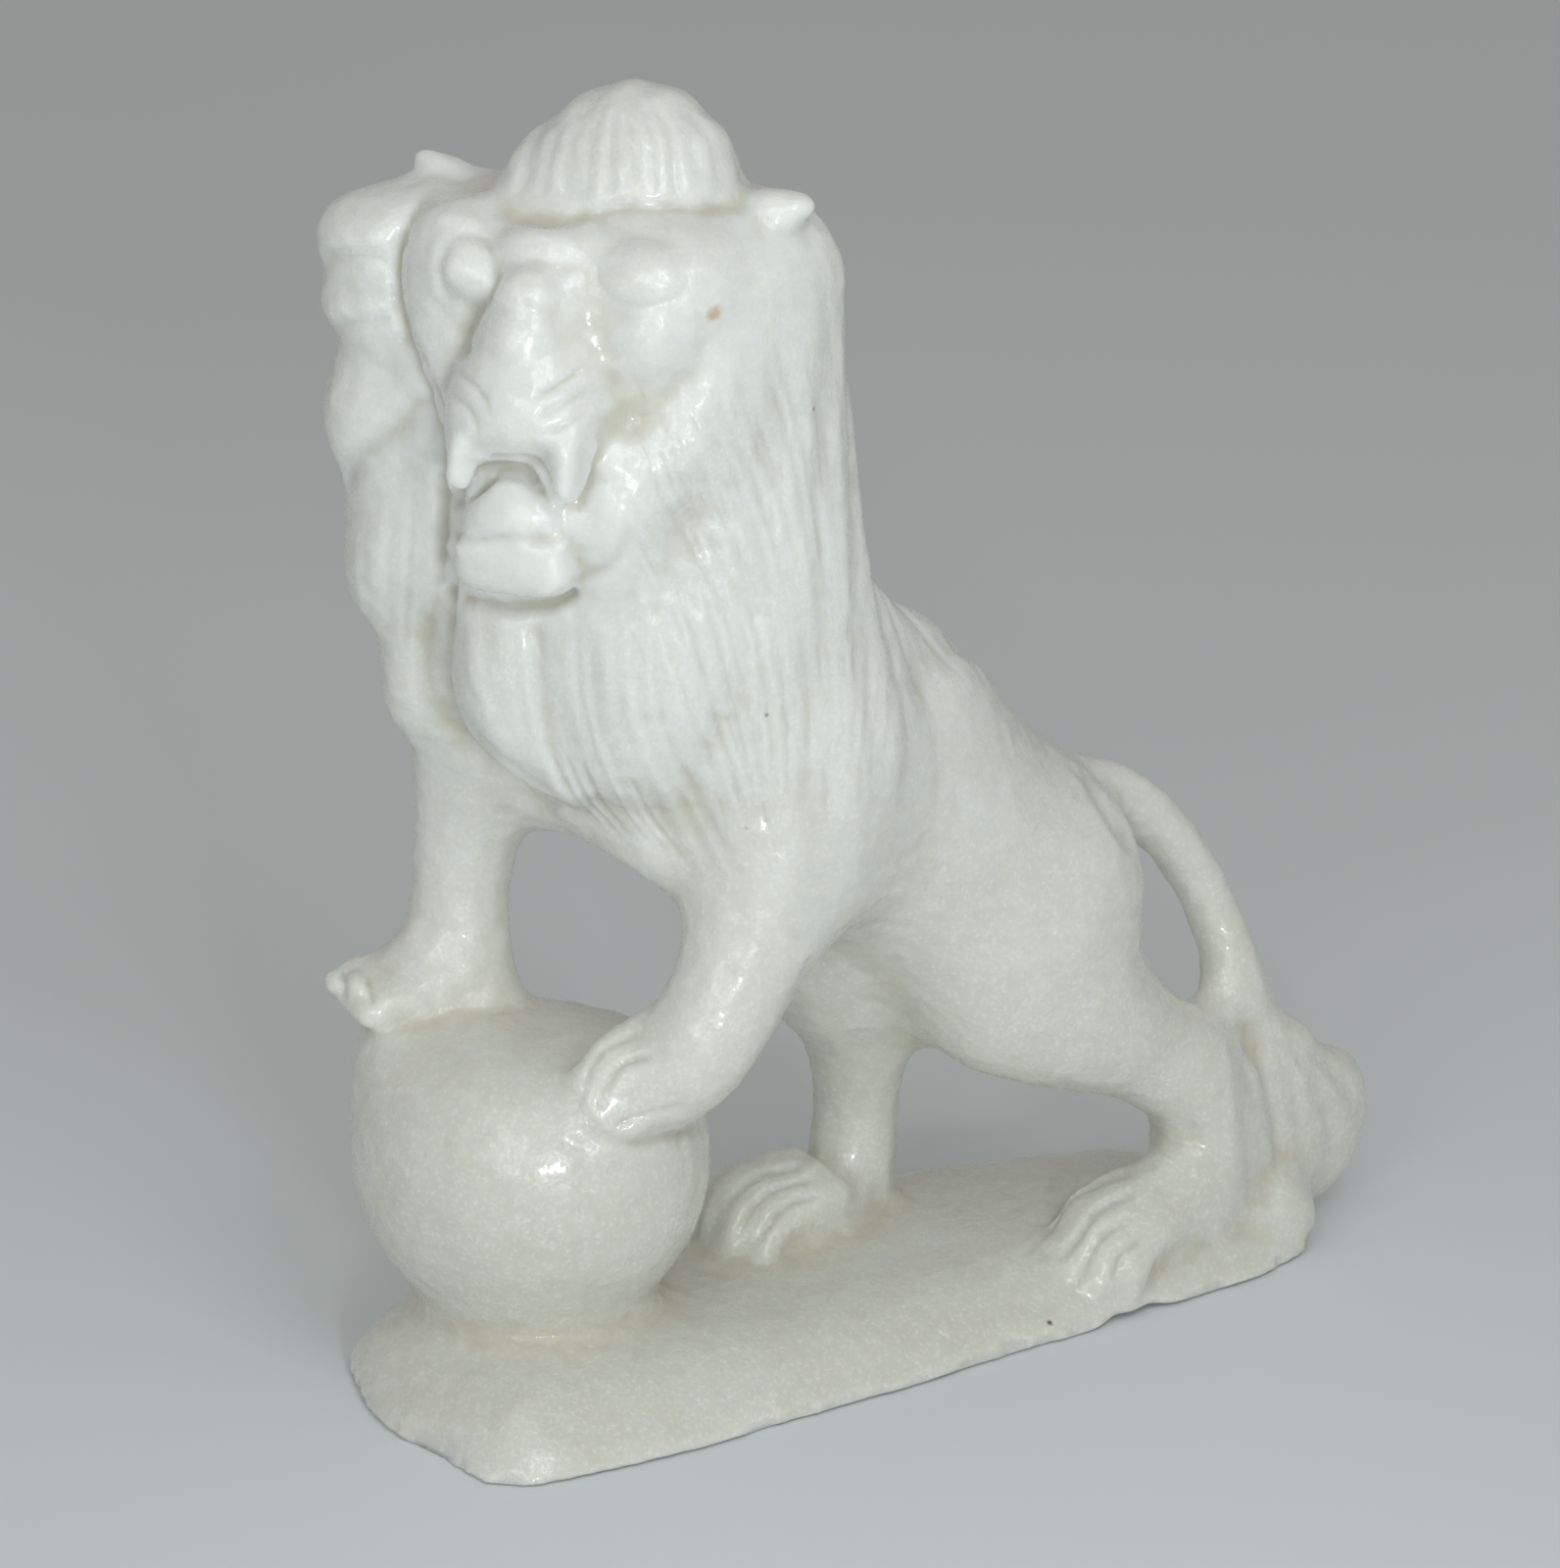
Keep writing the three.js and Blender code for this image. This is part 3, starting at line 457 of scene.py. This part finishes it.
# Hair and toes: strokes of the chisel, drawn in the picture.
hair = {
    "families": [
        # left guide, right guide, count, width in pixels, depth in mm
        ([(584, 640), (590, 720), (610, 790), (650, 862)],
         [(664, 640), (678, 740), (712, 812), (756, 902)], 5, 10, 0.24),
        ([(566, 770), (588, 815), (622, 852)], [(640, 790), (664, 835), (700, 880)], 6, 6, 0.3),
        ([(640, 600), (672, 680), (700, 760), (742, 850)],
         [(800, 560), (815, 650), (822, 740), (815, 830)], 8, 9, 0.17),
        ([(700, 400), (740, 470), (775, 560), (800, 650)],
         [(862, 300), (876, 400), (884, 500), (886, 620)], 8, 9, 0.16),
        ([(650, 450), (680, 520), (720, 590), (760, 650)],
         [(750, 380), (772, 450), (800, 520), (822, 600)], 6, 8, 0.15),
        ([(842, 640), (850, 720), (842, 800)], [(912, 650), (908, 720), (900, 790)], 6, 7, 0.16),
        ([(352, 520), (352, 580), (368, 640)], [(420, 500), (415, 580), (412, 680)], 4, 8, 0.16),
        ([(468, 640), (470, 690), (500, 750)], [(525, 640), (530, 700), (545, 770)], 3, 8, 0.1),
    ],
    "familyFade": (0.25, 0.3),
    "familyJitter": 0.4,
    "familySeed": 10,
    "toes": [
        ([(652, 1056), (618, 1070), (602, 1092), (594, 1124)], 7, 0.34),
        ([(668, 1078), (636, 1086), (622, 1106), (612, 1132)], 7, 0.34),
        ([(702, 1128), (668, 1134), (642, 1142), (620, 1156)], 7, 0.28),
        ([(350, 990), (351, 1022)], 6, 0.35),
        ([(377, 996), (380, 1026)], 6, 0.3),
        ([(820, 1190), (786, 1196), (758, 1210), (736, 1240)], 7, 0.38),
        ([(832, 1203), (796, 1211), (771, 1230), (753, 1258)], 7, 0.4),
        ([(838, 1220), (806, 1229), (786, 1248), (772, 1268)], 7, 0.38),
        ([(1164, 1194), (1120, 1206), (1086, 1226), (1068, 1256), (1044, 1282)], 8, 0.42),
        ([(1160, 1216), (1121, 1234), (1100, 1262), (1080, 1288)], 8, 0.45),
        ([(1156, 1242), (1124, 1262), (1108, 1290), (1098, 1314)], 8, 0.42),
        ([(1168, 1264), (1146, 1280), (1134, 1308)], 8, 0.32),
    ],
    "tuft": [
        ([(1302, 1056), (1318, 1110), (1330, 1170), (1330, 1215)], 14, 0.22),
        ([(1314, 1058), (1344, 1110), (1360, 1160), (1352, 1195)], 14, 0.25),
        ([(1330, 1070), (1362, 1096), (1386, 1134), (1386, 1160)], 12, 0.25),
    ],
    "whiskers": [
        ([(594, 376), (570, 392), (544, 406)], 6, 0.28),
        ([(600, 398), (574, 412), (546, 426)], 6, 0.28),
        ([(600, 420), (578, 432), (552, 446)], 6, 0.28),
        ([(466, 380), (486, 396), (502, 424)], 6, 0.28),
        ([(460, 402), (478, 418), (490, 446)], 6, 0.28),
    ],
    "lids": [
        ([(456, 246), (447, 268), (450, 292), (464, 310)], 7, 0.28),
        ([(458, 243), (478, 238), (497, 247), (503, 268)], 6, 0.2),
        ([(610, 268), (616, 292), (640, 309), (668, 312), (694, 300), (706, 280)], 8, 0.14),
        ([(612, 264), (632, 248), (660, 242), (690, 249), (706, 270)], 8, 0.08),
    ],
    "strokeFade": (0.2, 0.25),
}


def carveHair(work):
    for n, (left, right, count, width, depth) in enumerate(hair["families"]):
        seed = hair["familySeed"] + n
        work.family(left, right, count, width, depth, hair["familyFade"], hair["familyJitter"], seed)
    for marks, width, depth in hair["toes"] + hair["tuft"] + hair["whiskers"] + hair["lids"]:
        work.groove(marks, width, depth, hair["strokeFade"])


# The flutes of the topknot, all drawn to one place at its crown.
topknot = {
    "crown": (640, 84),  # where the flutes meet
    "flutes": 10,
    "left": 530,  # pixels, foot of the first flute
    "step": 23,
    "foot": 204.0,
    "footRise": 0.6,
    "bulge": 0.32,
    "bulgeRise": 10.0,
    "topSpread": 0.30,
    "topDrop": (6.0, 0.0022),
    "width": 9.0,
    "depth": (0.17, 0.07),
    "fade": (0.15, 0.4),
}


def carveTopknot(work):
    crown = np.array(topknot["crown"], float)
    sink, curl = topknot["topDrop"]
    depth, change = topknot["depth"]
    for n in range(topknot["flutes"]):
        foot = np.array([topknot["left"] + n * topknot["step"], topknot["foot"] - topknot["footRise"] * n])
        aside = foot[0] - crown[0]
        bulge = (foot + crown) / 2 + np.array([aside * topknot["bulge"], -topknot["bulgeRise"]])
        top = crown + np.array([aside * topknot["topSpread"], sink + curl * aside**2])
        work.groove([foot, bulge, top], topknot["width"], depth + change * math.sin(n * 2.1), topknot["fade"])


# Short fine scratches all over the near side of the mane.
scratches = {
    "count": 150,
    "seed": 7,
    "across": (640, 880),  # pixels
    "down": (380, 800),
    "beardEdge": (560, 0.2),  # none left of this slanting line
    "lean": (62, 28),  # degrees, at the left and how much steeper at the right
    "length": (24, 60),
    "width": (4.0, 5.5),
    "depth": (0.08, 0.2),
    "fade": (0.4, 0.4),
}


def scratchMane(work):
    chance = np.random.default_rng(scratches["seed"])
    left, right = scratches["across"]
    edge, slant = scratches["beardEdge"]
    lean, steeper = scratches["lean"]
    for n in range(scratches["count"]):
        x, y = chance.uniform(*scratches["across"]), chance.uniform(*scratches["down"])
        if x < edge + (y - scratches["down"][0]) * slant:
            continue
        angle = math.radians(lean + steeper * (x - left) / (right - left))
        size = chance.uniform(*scratches["length"])
        end = (x + size * math.cos(angle), y + size * math.sin(angle))
        width, depth = chance.uniform(*scratches["width"]), chance.uniform(*scratches["depth"])
        work.groove([(x, y), end], width, depth, scratches["fade"])


# The head is turned towards the camera on this upright axis.
headStance = {"axis": (-0.158, -29.798), "turn": 35.0}  # mm and degrees


def onHead(left, front, height):
    # a place in mm, given from the middle of the turned head
    turn = math.radians(headStance["turn"])
    x = headStance["axis"][0] + left * math.cos(turn) + front * math.sin(turn)
    y = headStance["axis"][1] + left * math.sin(turn) - front * math.cos(turn)
    return (x, y, height)


def fromHead(places):
    # the other way round: how far left and how far in front of the head's middle each place is
    turn = math.radians(headStance["turn"])
    x, y = places[:, 0] - headStance["axis"][0], places[:, 1] - headStance["axis"][1]
    return x * math.cos(turn) + y * math.sin(turn), x * math.sin(turn) - y * math.cos(turn)


# Locks round the far side and the back of the mane, plainer than the ones in front.
backLocks = {
    "count": 17,
    "from": 118,  # degrees round the head
    "spread": 148,
    "top": (113.5, 2.6),  # mm
    "drop": (5.6, 0.7),
    "places": 9,
    "wave": 0.05,  # radians
    "waveLength": 6.0,
    "round": (42, 36),  # mm from the middle, where the rays start
    "heart": (0, -2),
    "sight": 60.0,
    "width": 1.25,
    "depth": (0.5, 0.14),
    "fade": (0.3, 0.5),
}


def carveBack(work):
    for n in range(backLocks["count"]):
        angle = math.radians(backLocks["from"] + backLocks["spread"] * n / (backLocks["count"] - 1))
        top = backLocks["top"][0] + backLocks["top"][1] * math.sin(n * 2.3)
        drop = backLocks["drop"][0] + backLocks["drop"][1] * math.sin(n * 1.3)
        aside, behind = backLocks["round"]
        marks = []
        for step in range(backLocks["places"]):
            height = top - drop * step
            swing = angle + backLocks["wave"] * math.sin(height / backLocks["waveLength"] + n)
            start = np.array(onHead(aside * math.cos(swing - math.pi / 2), behind * math.cos(swing), height))
            centre = np.array(onHead(*backLocks["heart"], height))
            hit = work.tree.ray_cast(Vector(start), Vector(centre - start).normalized(), backLocks["sight"])
            if hit[0] is not None:
                marks.append(tuple(hit[0]))
        if len(marks) > 3:
            depth = backLocks["depth"][0] + backLocks["depth"][1] * math.sin(n * 2.4)
            work.groove(marks, backLocks["width"], depth, backLocks["fade"])


# The thin rim of the base is nicked all round, with one larger chip at the front.
wear = {
    "chips": [
        # place, way out of the stone, reach and depth in mm
        ((9.4, -58.2, 0.8), (0.12, -0.92, 0.35), 5.4, 1.8),
        ((13.2, -57.6, 0.6), (0.5, -0.8, 0.2), 2.6, 0.8),
        ((5.2, -58.4, 0.8), (-0.4, -0.8, 0.3), 2.6, 0.6),
    ],
    "nicks": 70,
    "seed": 21,
    "height": (0.4, 1.1),  # mm above the underside
    "tilt": (-0.1, 0.5),  # how far a nick faces up
    "reach": (0.9, 2.6),
    "depth": (0.15, 0.42),
    "edge": 1.6,
    "farOut": 120.0,  # mm, where the rays that find the rim start
}


def wearRim(work):
    chips = list(wear["chips"])
    chance = np.random.default_rng(wear["seed"])
    for n in range(wear["nicks"]):
        angle = chance.uniform(0, 2 * math.pi)
        side = Vector((math.cos(angle), math.sin(angle), 0))
        start = side * wear["farOut"] + Vector((0, 0, chance.uniform(*wear["height"])))
        hit = work.tree.ray_cast(start, -side, wear["farOut"])
        if hit[0] is not None:
            way = (hit[1].x, hit[1].y, chance.uniform(*wear["tilt"]))
            chips.append((tuple(hit[0]), way, chance.uniform(*wear["reach"]), chance.uniform(*wear["depth"])))
    for place, way, reach, depth in chips:
        way = np.array(way) / np.linalg.norm(way)
        apart = work.places - np.array(place)
        proud = apart @ way + depth
        near = soft(wear["edge"] - wear["edge"] * np.linalg.norm(apart, axis=1) / reach)
        work.places -= np.outer(np.maximum(proud, 0) * near, way)


# The faint unevenness that rubbing by hand leaves, which scatters the highlights.
handFinish = {"waves": 30, "seed": 33, "length": (1.7, 3.6), "depth": 0.034, "lowest": 0.5}  # mm


def rubSkin(work):
    chance = np.random.default_rng(handFinish["seed"])
    rise = np.zeros(len(work.places))
    for n in range(handFinish["waves"]):
        way = chance.normal(size=3)
        turns = 2 * math.pi / chance.uniform(*handFinish["length"])
        rise += np.sin(work.places @ (way / np.linalg.norm(way)) * turns + chance.uniform(0, 2 * math.pi))
    rise *= handFinish["depth"] * math.sqrt(2 / handFinish["waves"])
    work.raised += rise * soft(work.places[:, 2] - handFinish["lowest"])


work = Carving(stone)
carveHair(work)
carveTopknot(work)
scratchMane(work)
carveBack(work)
wearRim(work)
rubSkin(work)
work.finish()
print("hair and toes carved")


def thinOut(thing):
    thing.data.calc_loop_triangles()
    count = len(thing.data.loop_triangles)
    if count > block["mostTriangles"]:
        applyModifier(thing, "DECIMATE", ratio=block["mostTriangles"] / count)
    return len(thing.data.polygons)


print("piece has", thinOut(stone), "faces")

# Where the stone looks warmer, with real grime in narrow hollows and painted shade in broad hollows and over the
# ball, and where the mane is combed, kept as values on the points of the skin.
grimeAndShadeMap = {
    # the narrow hollows of the first row hold grime, the broad hollows of the second get painted shade
    "hollows": [
        # more rounds of evening out, depth in mm that counts as full, share
        (24, 0.5, 1.0),
        (96, 1.2, 0.3),
    ],
    # painted shade in the saddle over the ball
    "saddle": (-4.16, -34.8, 38.4),  # mm, over the ball and between the legs
    "saddleSize": (11, 10, 6),
    "saddleShare": 0.45,
}
combedHair = {
    # each pair is a place in mm and over how many mm the combing comes in or ends there
    "foot": (60, 8),
    "crown": (116, 5),
    "back": (8, 10),
    "backSlope": -0.1,
    "faceFront": (6, 4),
    "faceFoot": (80, 8),
    "faceHalf": (15, 5),
}


def past(values, edge):
    return soft((values - edge[0]) / edge[1])


def before(values, edge):
    return soft((edge[0] - values) / edge[1])


def grimeAndShadeField(mesh):
    # real grime in deep, narrow places; painted shade in broad hollows and in the saddle over the ball
    places, outward = skinPoints(mesh)
    beside = Neighbours(mesh)
    eased = places
    grimeAndShade = np.zeros(len(places))
    for rounds, depth, share in grimeAndShadeMap["hollows"]:
        for turn in range(rounds):
            eased = beside.mean(eased)
        grimeAndShade += share * np.clip(((eased - places) * outward).sum(1) / depth, 0, 1)
    off = (places - grimeAndShadeMap["saddle"]) / grimeAndShadeMap["saddleSize"]
    return np.clip(grimeAndShade + grimeAndShadeMap["saddleShare"] * np.exp(-(off**2).sum(1)), 0, 1)


def combedField(mesh):
    # the whole mane, apart from the face
    places = skinPoints(mesh)[0]
    y, z = places[:, 1], places[:, 2]
    left, front = fromHead(places)
    face = past(front, combedHair["faceFront"]) * past(z, combedHair["faceFoot"])
    face *= before(np.abs(left), combedHair["faceHalf"])
    slanted = y - (z - combedHair["foot"][0]) * combedHair["backSlope"]
    mane = past(z, combedHair["foot"]) * before(z, combedHair["crown"]) * before(slanted, combedHair["back"])
    return mane * (1 - face)


def keepField(mesh, name, values):
    layer = mesh.attributes.new(name, "FLOAT", "POINT")
    layer.data.foreach_set("value", values.astype(np.float32))


class Wire:
    # a shader value that can be written in sums
    def __init__(self, tree, socket):
        self.tree = tree
        self.socket = socket

    def maths(self, kind, other=None, swapped=False):
        node = self.tree.nodes.new("ShaderNodeMath")
        node.operation = kind
        values = [self, other] if not swapped else [other, self]
        for slot, value in zip(node.inputs, values):
            if isinstance(value, Wire):
                self.tree.links.new(value.socket, slot)
            elif value is not None:
                slot.default_value = value
        return Wire(self.tree, node.outputs[0])

    def __add__(self, other):
        return self.maths("ADD", other)

    __radd__ = __add__

    def __sub__(self, other):
        return self.maths("SUBTRACT", other)

    def __rsub__(self, other):
        return self.maths("SUBTRACT", other, True)

    def __mul__(self, other):
        return self.maths("MULTIPLY", other)

    __rmul__ = __mul__

    def clamped(self):
        return self.maths("MAXIMUM", 0.0).maths("MINIMUM", 1.0)


class Shader:
    def __init__(self, name):
        self.material = bpy.data.materials.new(name)
        self.material.use_nodes = True
        self.tree = self.material.node_tree
        self.tree.nodes.clear()

    def node(self, kind, settings=None, output=0, **values):
        made = self.tree.nodes.new("ShaderNode" + kind)
        for name, value in (settings or {}).items():
            setattr(made, name, value)
        for name, value in values.items():
            key = int(name[1:]) if name[0] == "_" and name[1:].isdigit() else name.replace("_", " ")
            slot = made.inputs[key]
            if isinstance(value, Wire):
                self.tree.links.new(value.socket, slot)
            else:
                slot.default_value = value
        return Wire(self.tree, made.outputs[output])

    def noise(self, place, scale, detail, roughness):
        return self.node("TexNoise", Vector=place, Scale=scale, Detail=detail, Roughness=roughness)

    def blend(self, first, second, share):
        return self.node("Mix", {"data_type": "RGBA"}, output=2, Factor=share, _6=first, _7=second)

    def done(self, skin):
        end = self.tree.nodes.new("ShaderNodeOutputMaterial")
        self.tree.links.new(skin.socket, end.inputs["Surface"])
        return self.material


marbleLook = {
    "white": (0.80, 0.825, 0.80, 1.0),
    "milky": (0.70, 0.715, 0.675, 1.0),
    "warm": (0.60, 0.56, 0.43, 1.0),
    "crystal": (0.88, 0.90, 0.89, 1.0),
    "tan": (0.62, 0.51, 0.35, 1.0),
    # painted shade: the darker, warmer tone of the lower stone, where the light falls off
    "lowShade": (0.62, 0.615, 0.53, 1.0),
    "brown": (0.20, 0.12, 0.06, 1.0),
    # place in the picture, radius in mm and colour of each rusty speck
    "specks": [(729, 320, 1.0, "tan"), (783, 730, 0.32, "brown"), (1071, 1350, 0.42, "brown")],
    # scale per metre, detail and roughness of each noise
    "cloud": (55.0, 5.0, 0.6),
    "grain": (2400.0, 2.0, 0.7),
    "blotch": (140.0, 3.0, 0.5),
    "uneven": (620.0, 2.0, 0.5),
    "combing": (1150.0, 2.0, 0.5),
    "crystalScale": 1500.0,
    "combStretch": (1.0, 1.0, 0.11),  # draws the combing out up and down
    # where each tone starts and how fast it comes in
    "milkyFrom": (0.35, 2.4),
    "warmFrom": (0.62, 1.2),
    "lowShadeFrom": (0.085, 16),  # m above the floor, and down from there
    # how much of each noise goes into a tone, the polish or the bump
    "lowShadeBy": {"all": 0.62, "blotch": 0.7},
    "glintBy": {"start": 0.48, "grain": 2.2, "crystal": 0.7, "all": 0.8},
    "warmBy": {"grimeAndShade": 0.35, "blotch": 0.9, "cloud": 0.25, "all": 0.7},
    "speckEdge": {"size": 1.4, "grain": 1.2},
    "dullness": 0.30,
    "roughBy": {"grain": 0.15, "grimeAndShade": 0.12, "blotch": 0.12},
    "sparkleBy": {"grain": 4.5, "uneven": 2.0, "all": 0.85},
    "bumpBy": {"grain": 0.45, "uneven": 0.8, "blotch": 0.8, "combing": 0.6},
    "bump": {"Strength": 0.36, "Distance": 0.0003},
    "polish": {"IOR": 1.5, "Coat_IOR": 1.5, "Coat_Roughness": 0.09},
    "depth": {"Subsurface_Weight": 1.0, "Subsurface_Radius": (1.0, 0.88, 0.7), "Subsurface_Scale": 0.002},
}


def speckPlaces(tree):
    # where the small rusty specks sit on the stone, in metres
    found = []
    for x, y, size, colour in marbleLook["specks"]:
        ray = forward * shot["focal"] + right * (x - shot["middle"][0]) - up * (y - shot["middle"][1])
        hit = tree.ray_cast(Vector(shot["stand"]), ray.normalized())
        if hit[0] is not None:
            found.append((hit[0] * mm, size * mm, colour))
    return found


def makeMarble(specks):
    look = marbleLook
    shade = Shader("polished_marble")
    place = shade.node("TexCoord", output=3)
    cloud = shade.noise(place, *look["cloud"])
    grain = shade.noise(place, *look["grain"])
    crystal = shade.node("TexVoronoi", Vector=place, Scale=look["crystalScale"])
    blotch = shade.noise(place, *look["blotch"])
    uneven = shade.noise(place, *look["uneven"])
    drawn = shade.node("VectorMath", {"operation": "MULTIPLY"}, _0=place, _1=look["combStretch"])
    combing = shade.noise(drawn, *look["combing"])
    # grime in narrow hollows and painted shade in broad hollows and over the ball
    grimeAndShade = shade.node("Attribute", {"attribute_name": "grimeAndShade"}, output=2)
    combed = shade.node("Attribute", {"attribute_name": "combed"}, output=2)

    # white stone with milky clouds, darker towards the base as painted shade where the light falls off, warm in the
    # hollows with grime and painted shade
    cloudy = ((cloud - look["milkyFrom"][0]) * look["milkyFrom"][1]).clamped()
    tone = shade.blend(look["white"], look["milky"], cloudy)
    height = shade.node("SeparateXYZ", output=2, Vector=place)
    by = look["lowShadeBy"]
    # painted shade comes in below this height
    lowness = ((look["lowShadeFrom"][0] - height) * look["lowShadeFrom"][1]).clamped()
    tone = shade.blend(tone, look["lowShade"], lowness * (by["all"] + (blotch - 0.5) * by["blotch"]))
    by = look["glintBy"]
    glint = ((grain - by["start"]) * by["grain"] + (0.5 - crystal) * by["crystal"]).clamped()
    tone = shade.blend(tone, look["crystal"], glint * by["all"])
    by = look["warmBy"]
    veil = ((cloud - look["warmFrom"][0]) * look["warmFrom"][1]).clamped()
    # warmer and darker with grime and painted shade in the hollows, and with a random veil
    warmth = (grimeAndShade * (by["grimeAndShade"] + blotch * by["blotch"]) + veil * by["cloud"]).clamped()
    tone = shade.blend(tone, look["warm"], warmth * by["all"])
    by = look["speckEdge"]
    for spot, size, colour in specks:
        apart = shade.node("VectorMath", {"operation": "DISTANCE"}, output=1, _0=place, _1=spot)
        ragged = ((size - apart) * (by["size"] / size) + (grain - 0.5) * by["grain"]).clamped()
        tone = shade.blend(tone, look[colour], ragged)

    # patchy polish and a faint bump
    by = look["roughBy"]
    roughness = look["dullness"] + (grain - 0.5) * by["grain"] + grimeAndShade * by["grimeAndShade"] + (blotch - 0.5) * by["blotch"]
    by = look["sparkleBy"]
    sparkle = ((grain - 0.5) * by["grain"] + (uneven - 0.5) * by["uneven"] + 0.5).clamped() * by["all"]
    by = look["bumpBy"]
    bumps = (grain - 0.5) * by["grain"] + (uneven - 0.5) * by["uneven"] + (blotch - 0.5) * by["blotch"]
    bumps = bumps + (combing - 0.5) * combed * by["combing"]
    relief = shade.node("Bump", Height=bumps, **look["bump"])
    skin = shade.node("BsdfPrincipled", Base_Color=tone, Roughness=roughness.clamped(), Normal=relief,
                      Coat_Weight=sparkle, **look["polish"], **look["depth"])
    return shade.done(skin)


keepField(stone.data, "combed", combedField(stone.data))
keepField(stone.data, "grimeAndShade", grimeAndShadeField(stone.data))
stone.data.materials.clear()
stone.data.materials.append(makeMarble(speckPlaces(work.tree)))
pick(stone)
bpy.ops.object.shade_smooth()
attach(stone, "root")
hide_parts("lion_statue")
print("marble done")

studio = {
    "floorColour": (0.74, 0.785, 0.81, 1.0),
    "floorRoughness": 0.85,
    "floorSize": 6.0,  # m
    "floorMiddle": (0, 1.2, 0),
    "lampColour": (0.95, 0.985, 1.0),
    "lamps": [
        # name, place, aim, size in metres, power in watts; the key stands just beside and below the camera
        ("keyLamp", stand + (right - up) * 0.10, (0.0, 0.0, 0.06), (0.07, 0.035), 0.74),
        ("topSoft", (0.1, -0.1, 0.9), (0.0, 0.0, 0.06), (0.8, 0.8), 0.55),
        ("headSoft", (0.23, -0.33, 0.23), (0.0, -0.02, 0.095), (0.2, 0.2), 0.27),
        ("maneSoft", (0.22, -0.06, 0.25), (0.0, -0.02, 0.095), (0.12, 0.12), 0.14),
    ],
    "room": (0.87, 0.86, 0.815, 1.0),
    "roomPower": 0.405,
}


def addFloor():
    clearSelection()
    bpy.ops.mesh.primitive_plane_add(size=studio["floorSize"], location=studio["floorMiddle"])
    floor = bpy.context.object
    floor.name = "studio_floor"
    bakePlace(floor)
    shade = Shader("pale_floor")
    skin = shade.node("BsdfPrincipled", Base_Color=studio["floorColour"], Roughness=studio["floorRoughness"])
    floor.data.materials.append(shade.done(skin))


def addLamp(name, place, aim, size, power):
    data = bpy.data.lights.new(name, "AREA")
    data.shape = "RECTANGLE"
    data.size, data.size_y = size
    data.energy = power
    data.color = studio["lampColour"]
    lamp = bpy.data.objects.new(name, data)
    scene.collection.objects.link(lamp)
    lamp.location = place
    lamp.rotation_euler = (Vector(aim) - Vector(place)).to_track_quat("-Z", "Y").to_euler()


def addRoom():
    world = bpy.data.worlds.new("softRoom")
    scene.world = world
    world.use_nodes = True
    back = world.node_tree.nodes["Background"].inputs
    back["Color"].default_value = studio["room"]
    back["Strength"].default_value = studio["roomPower"]


addFloor()
for lamp in studio["lamps"]:
    addLamp(*lamp)
addRoom()
scene.view_settings.view_transform = "Standard"
print("floor and lamps placed")
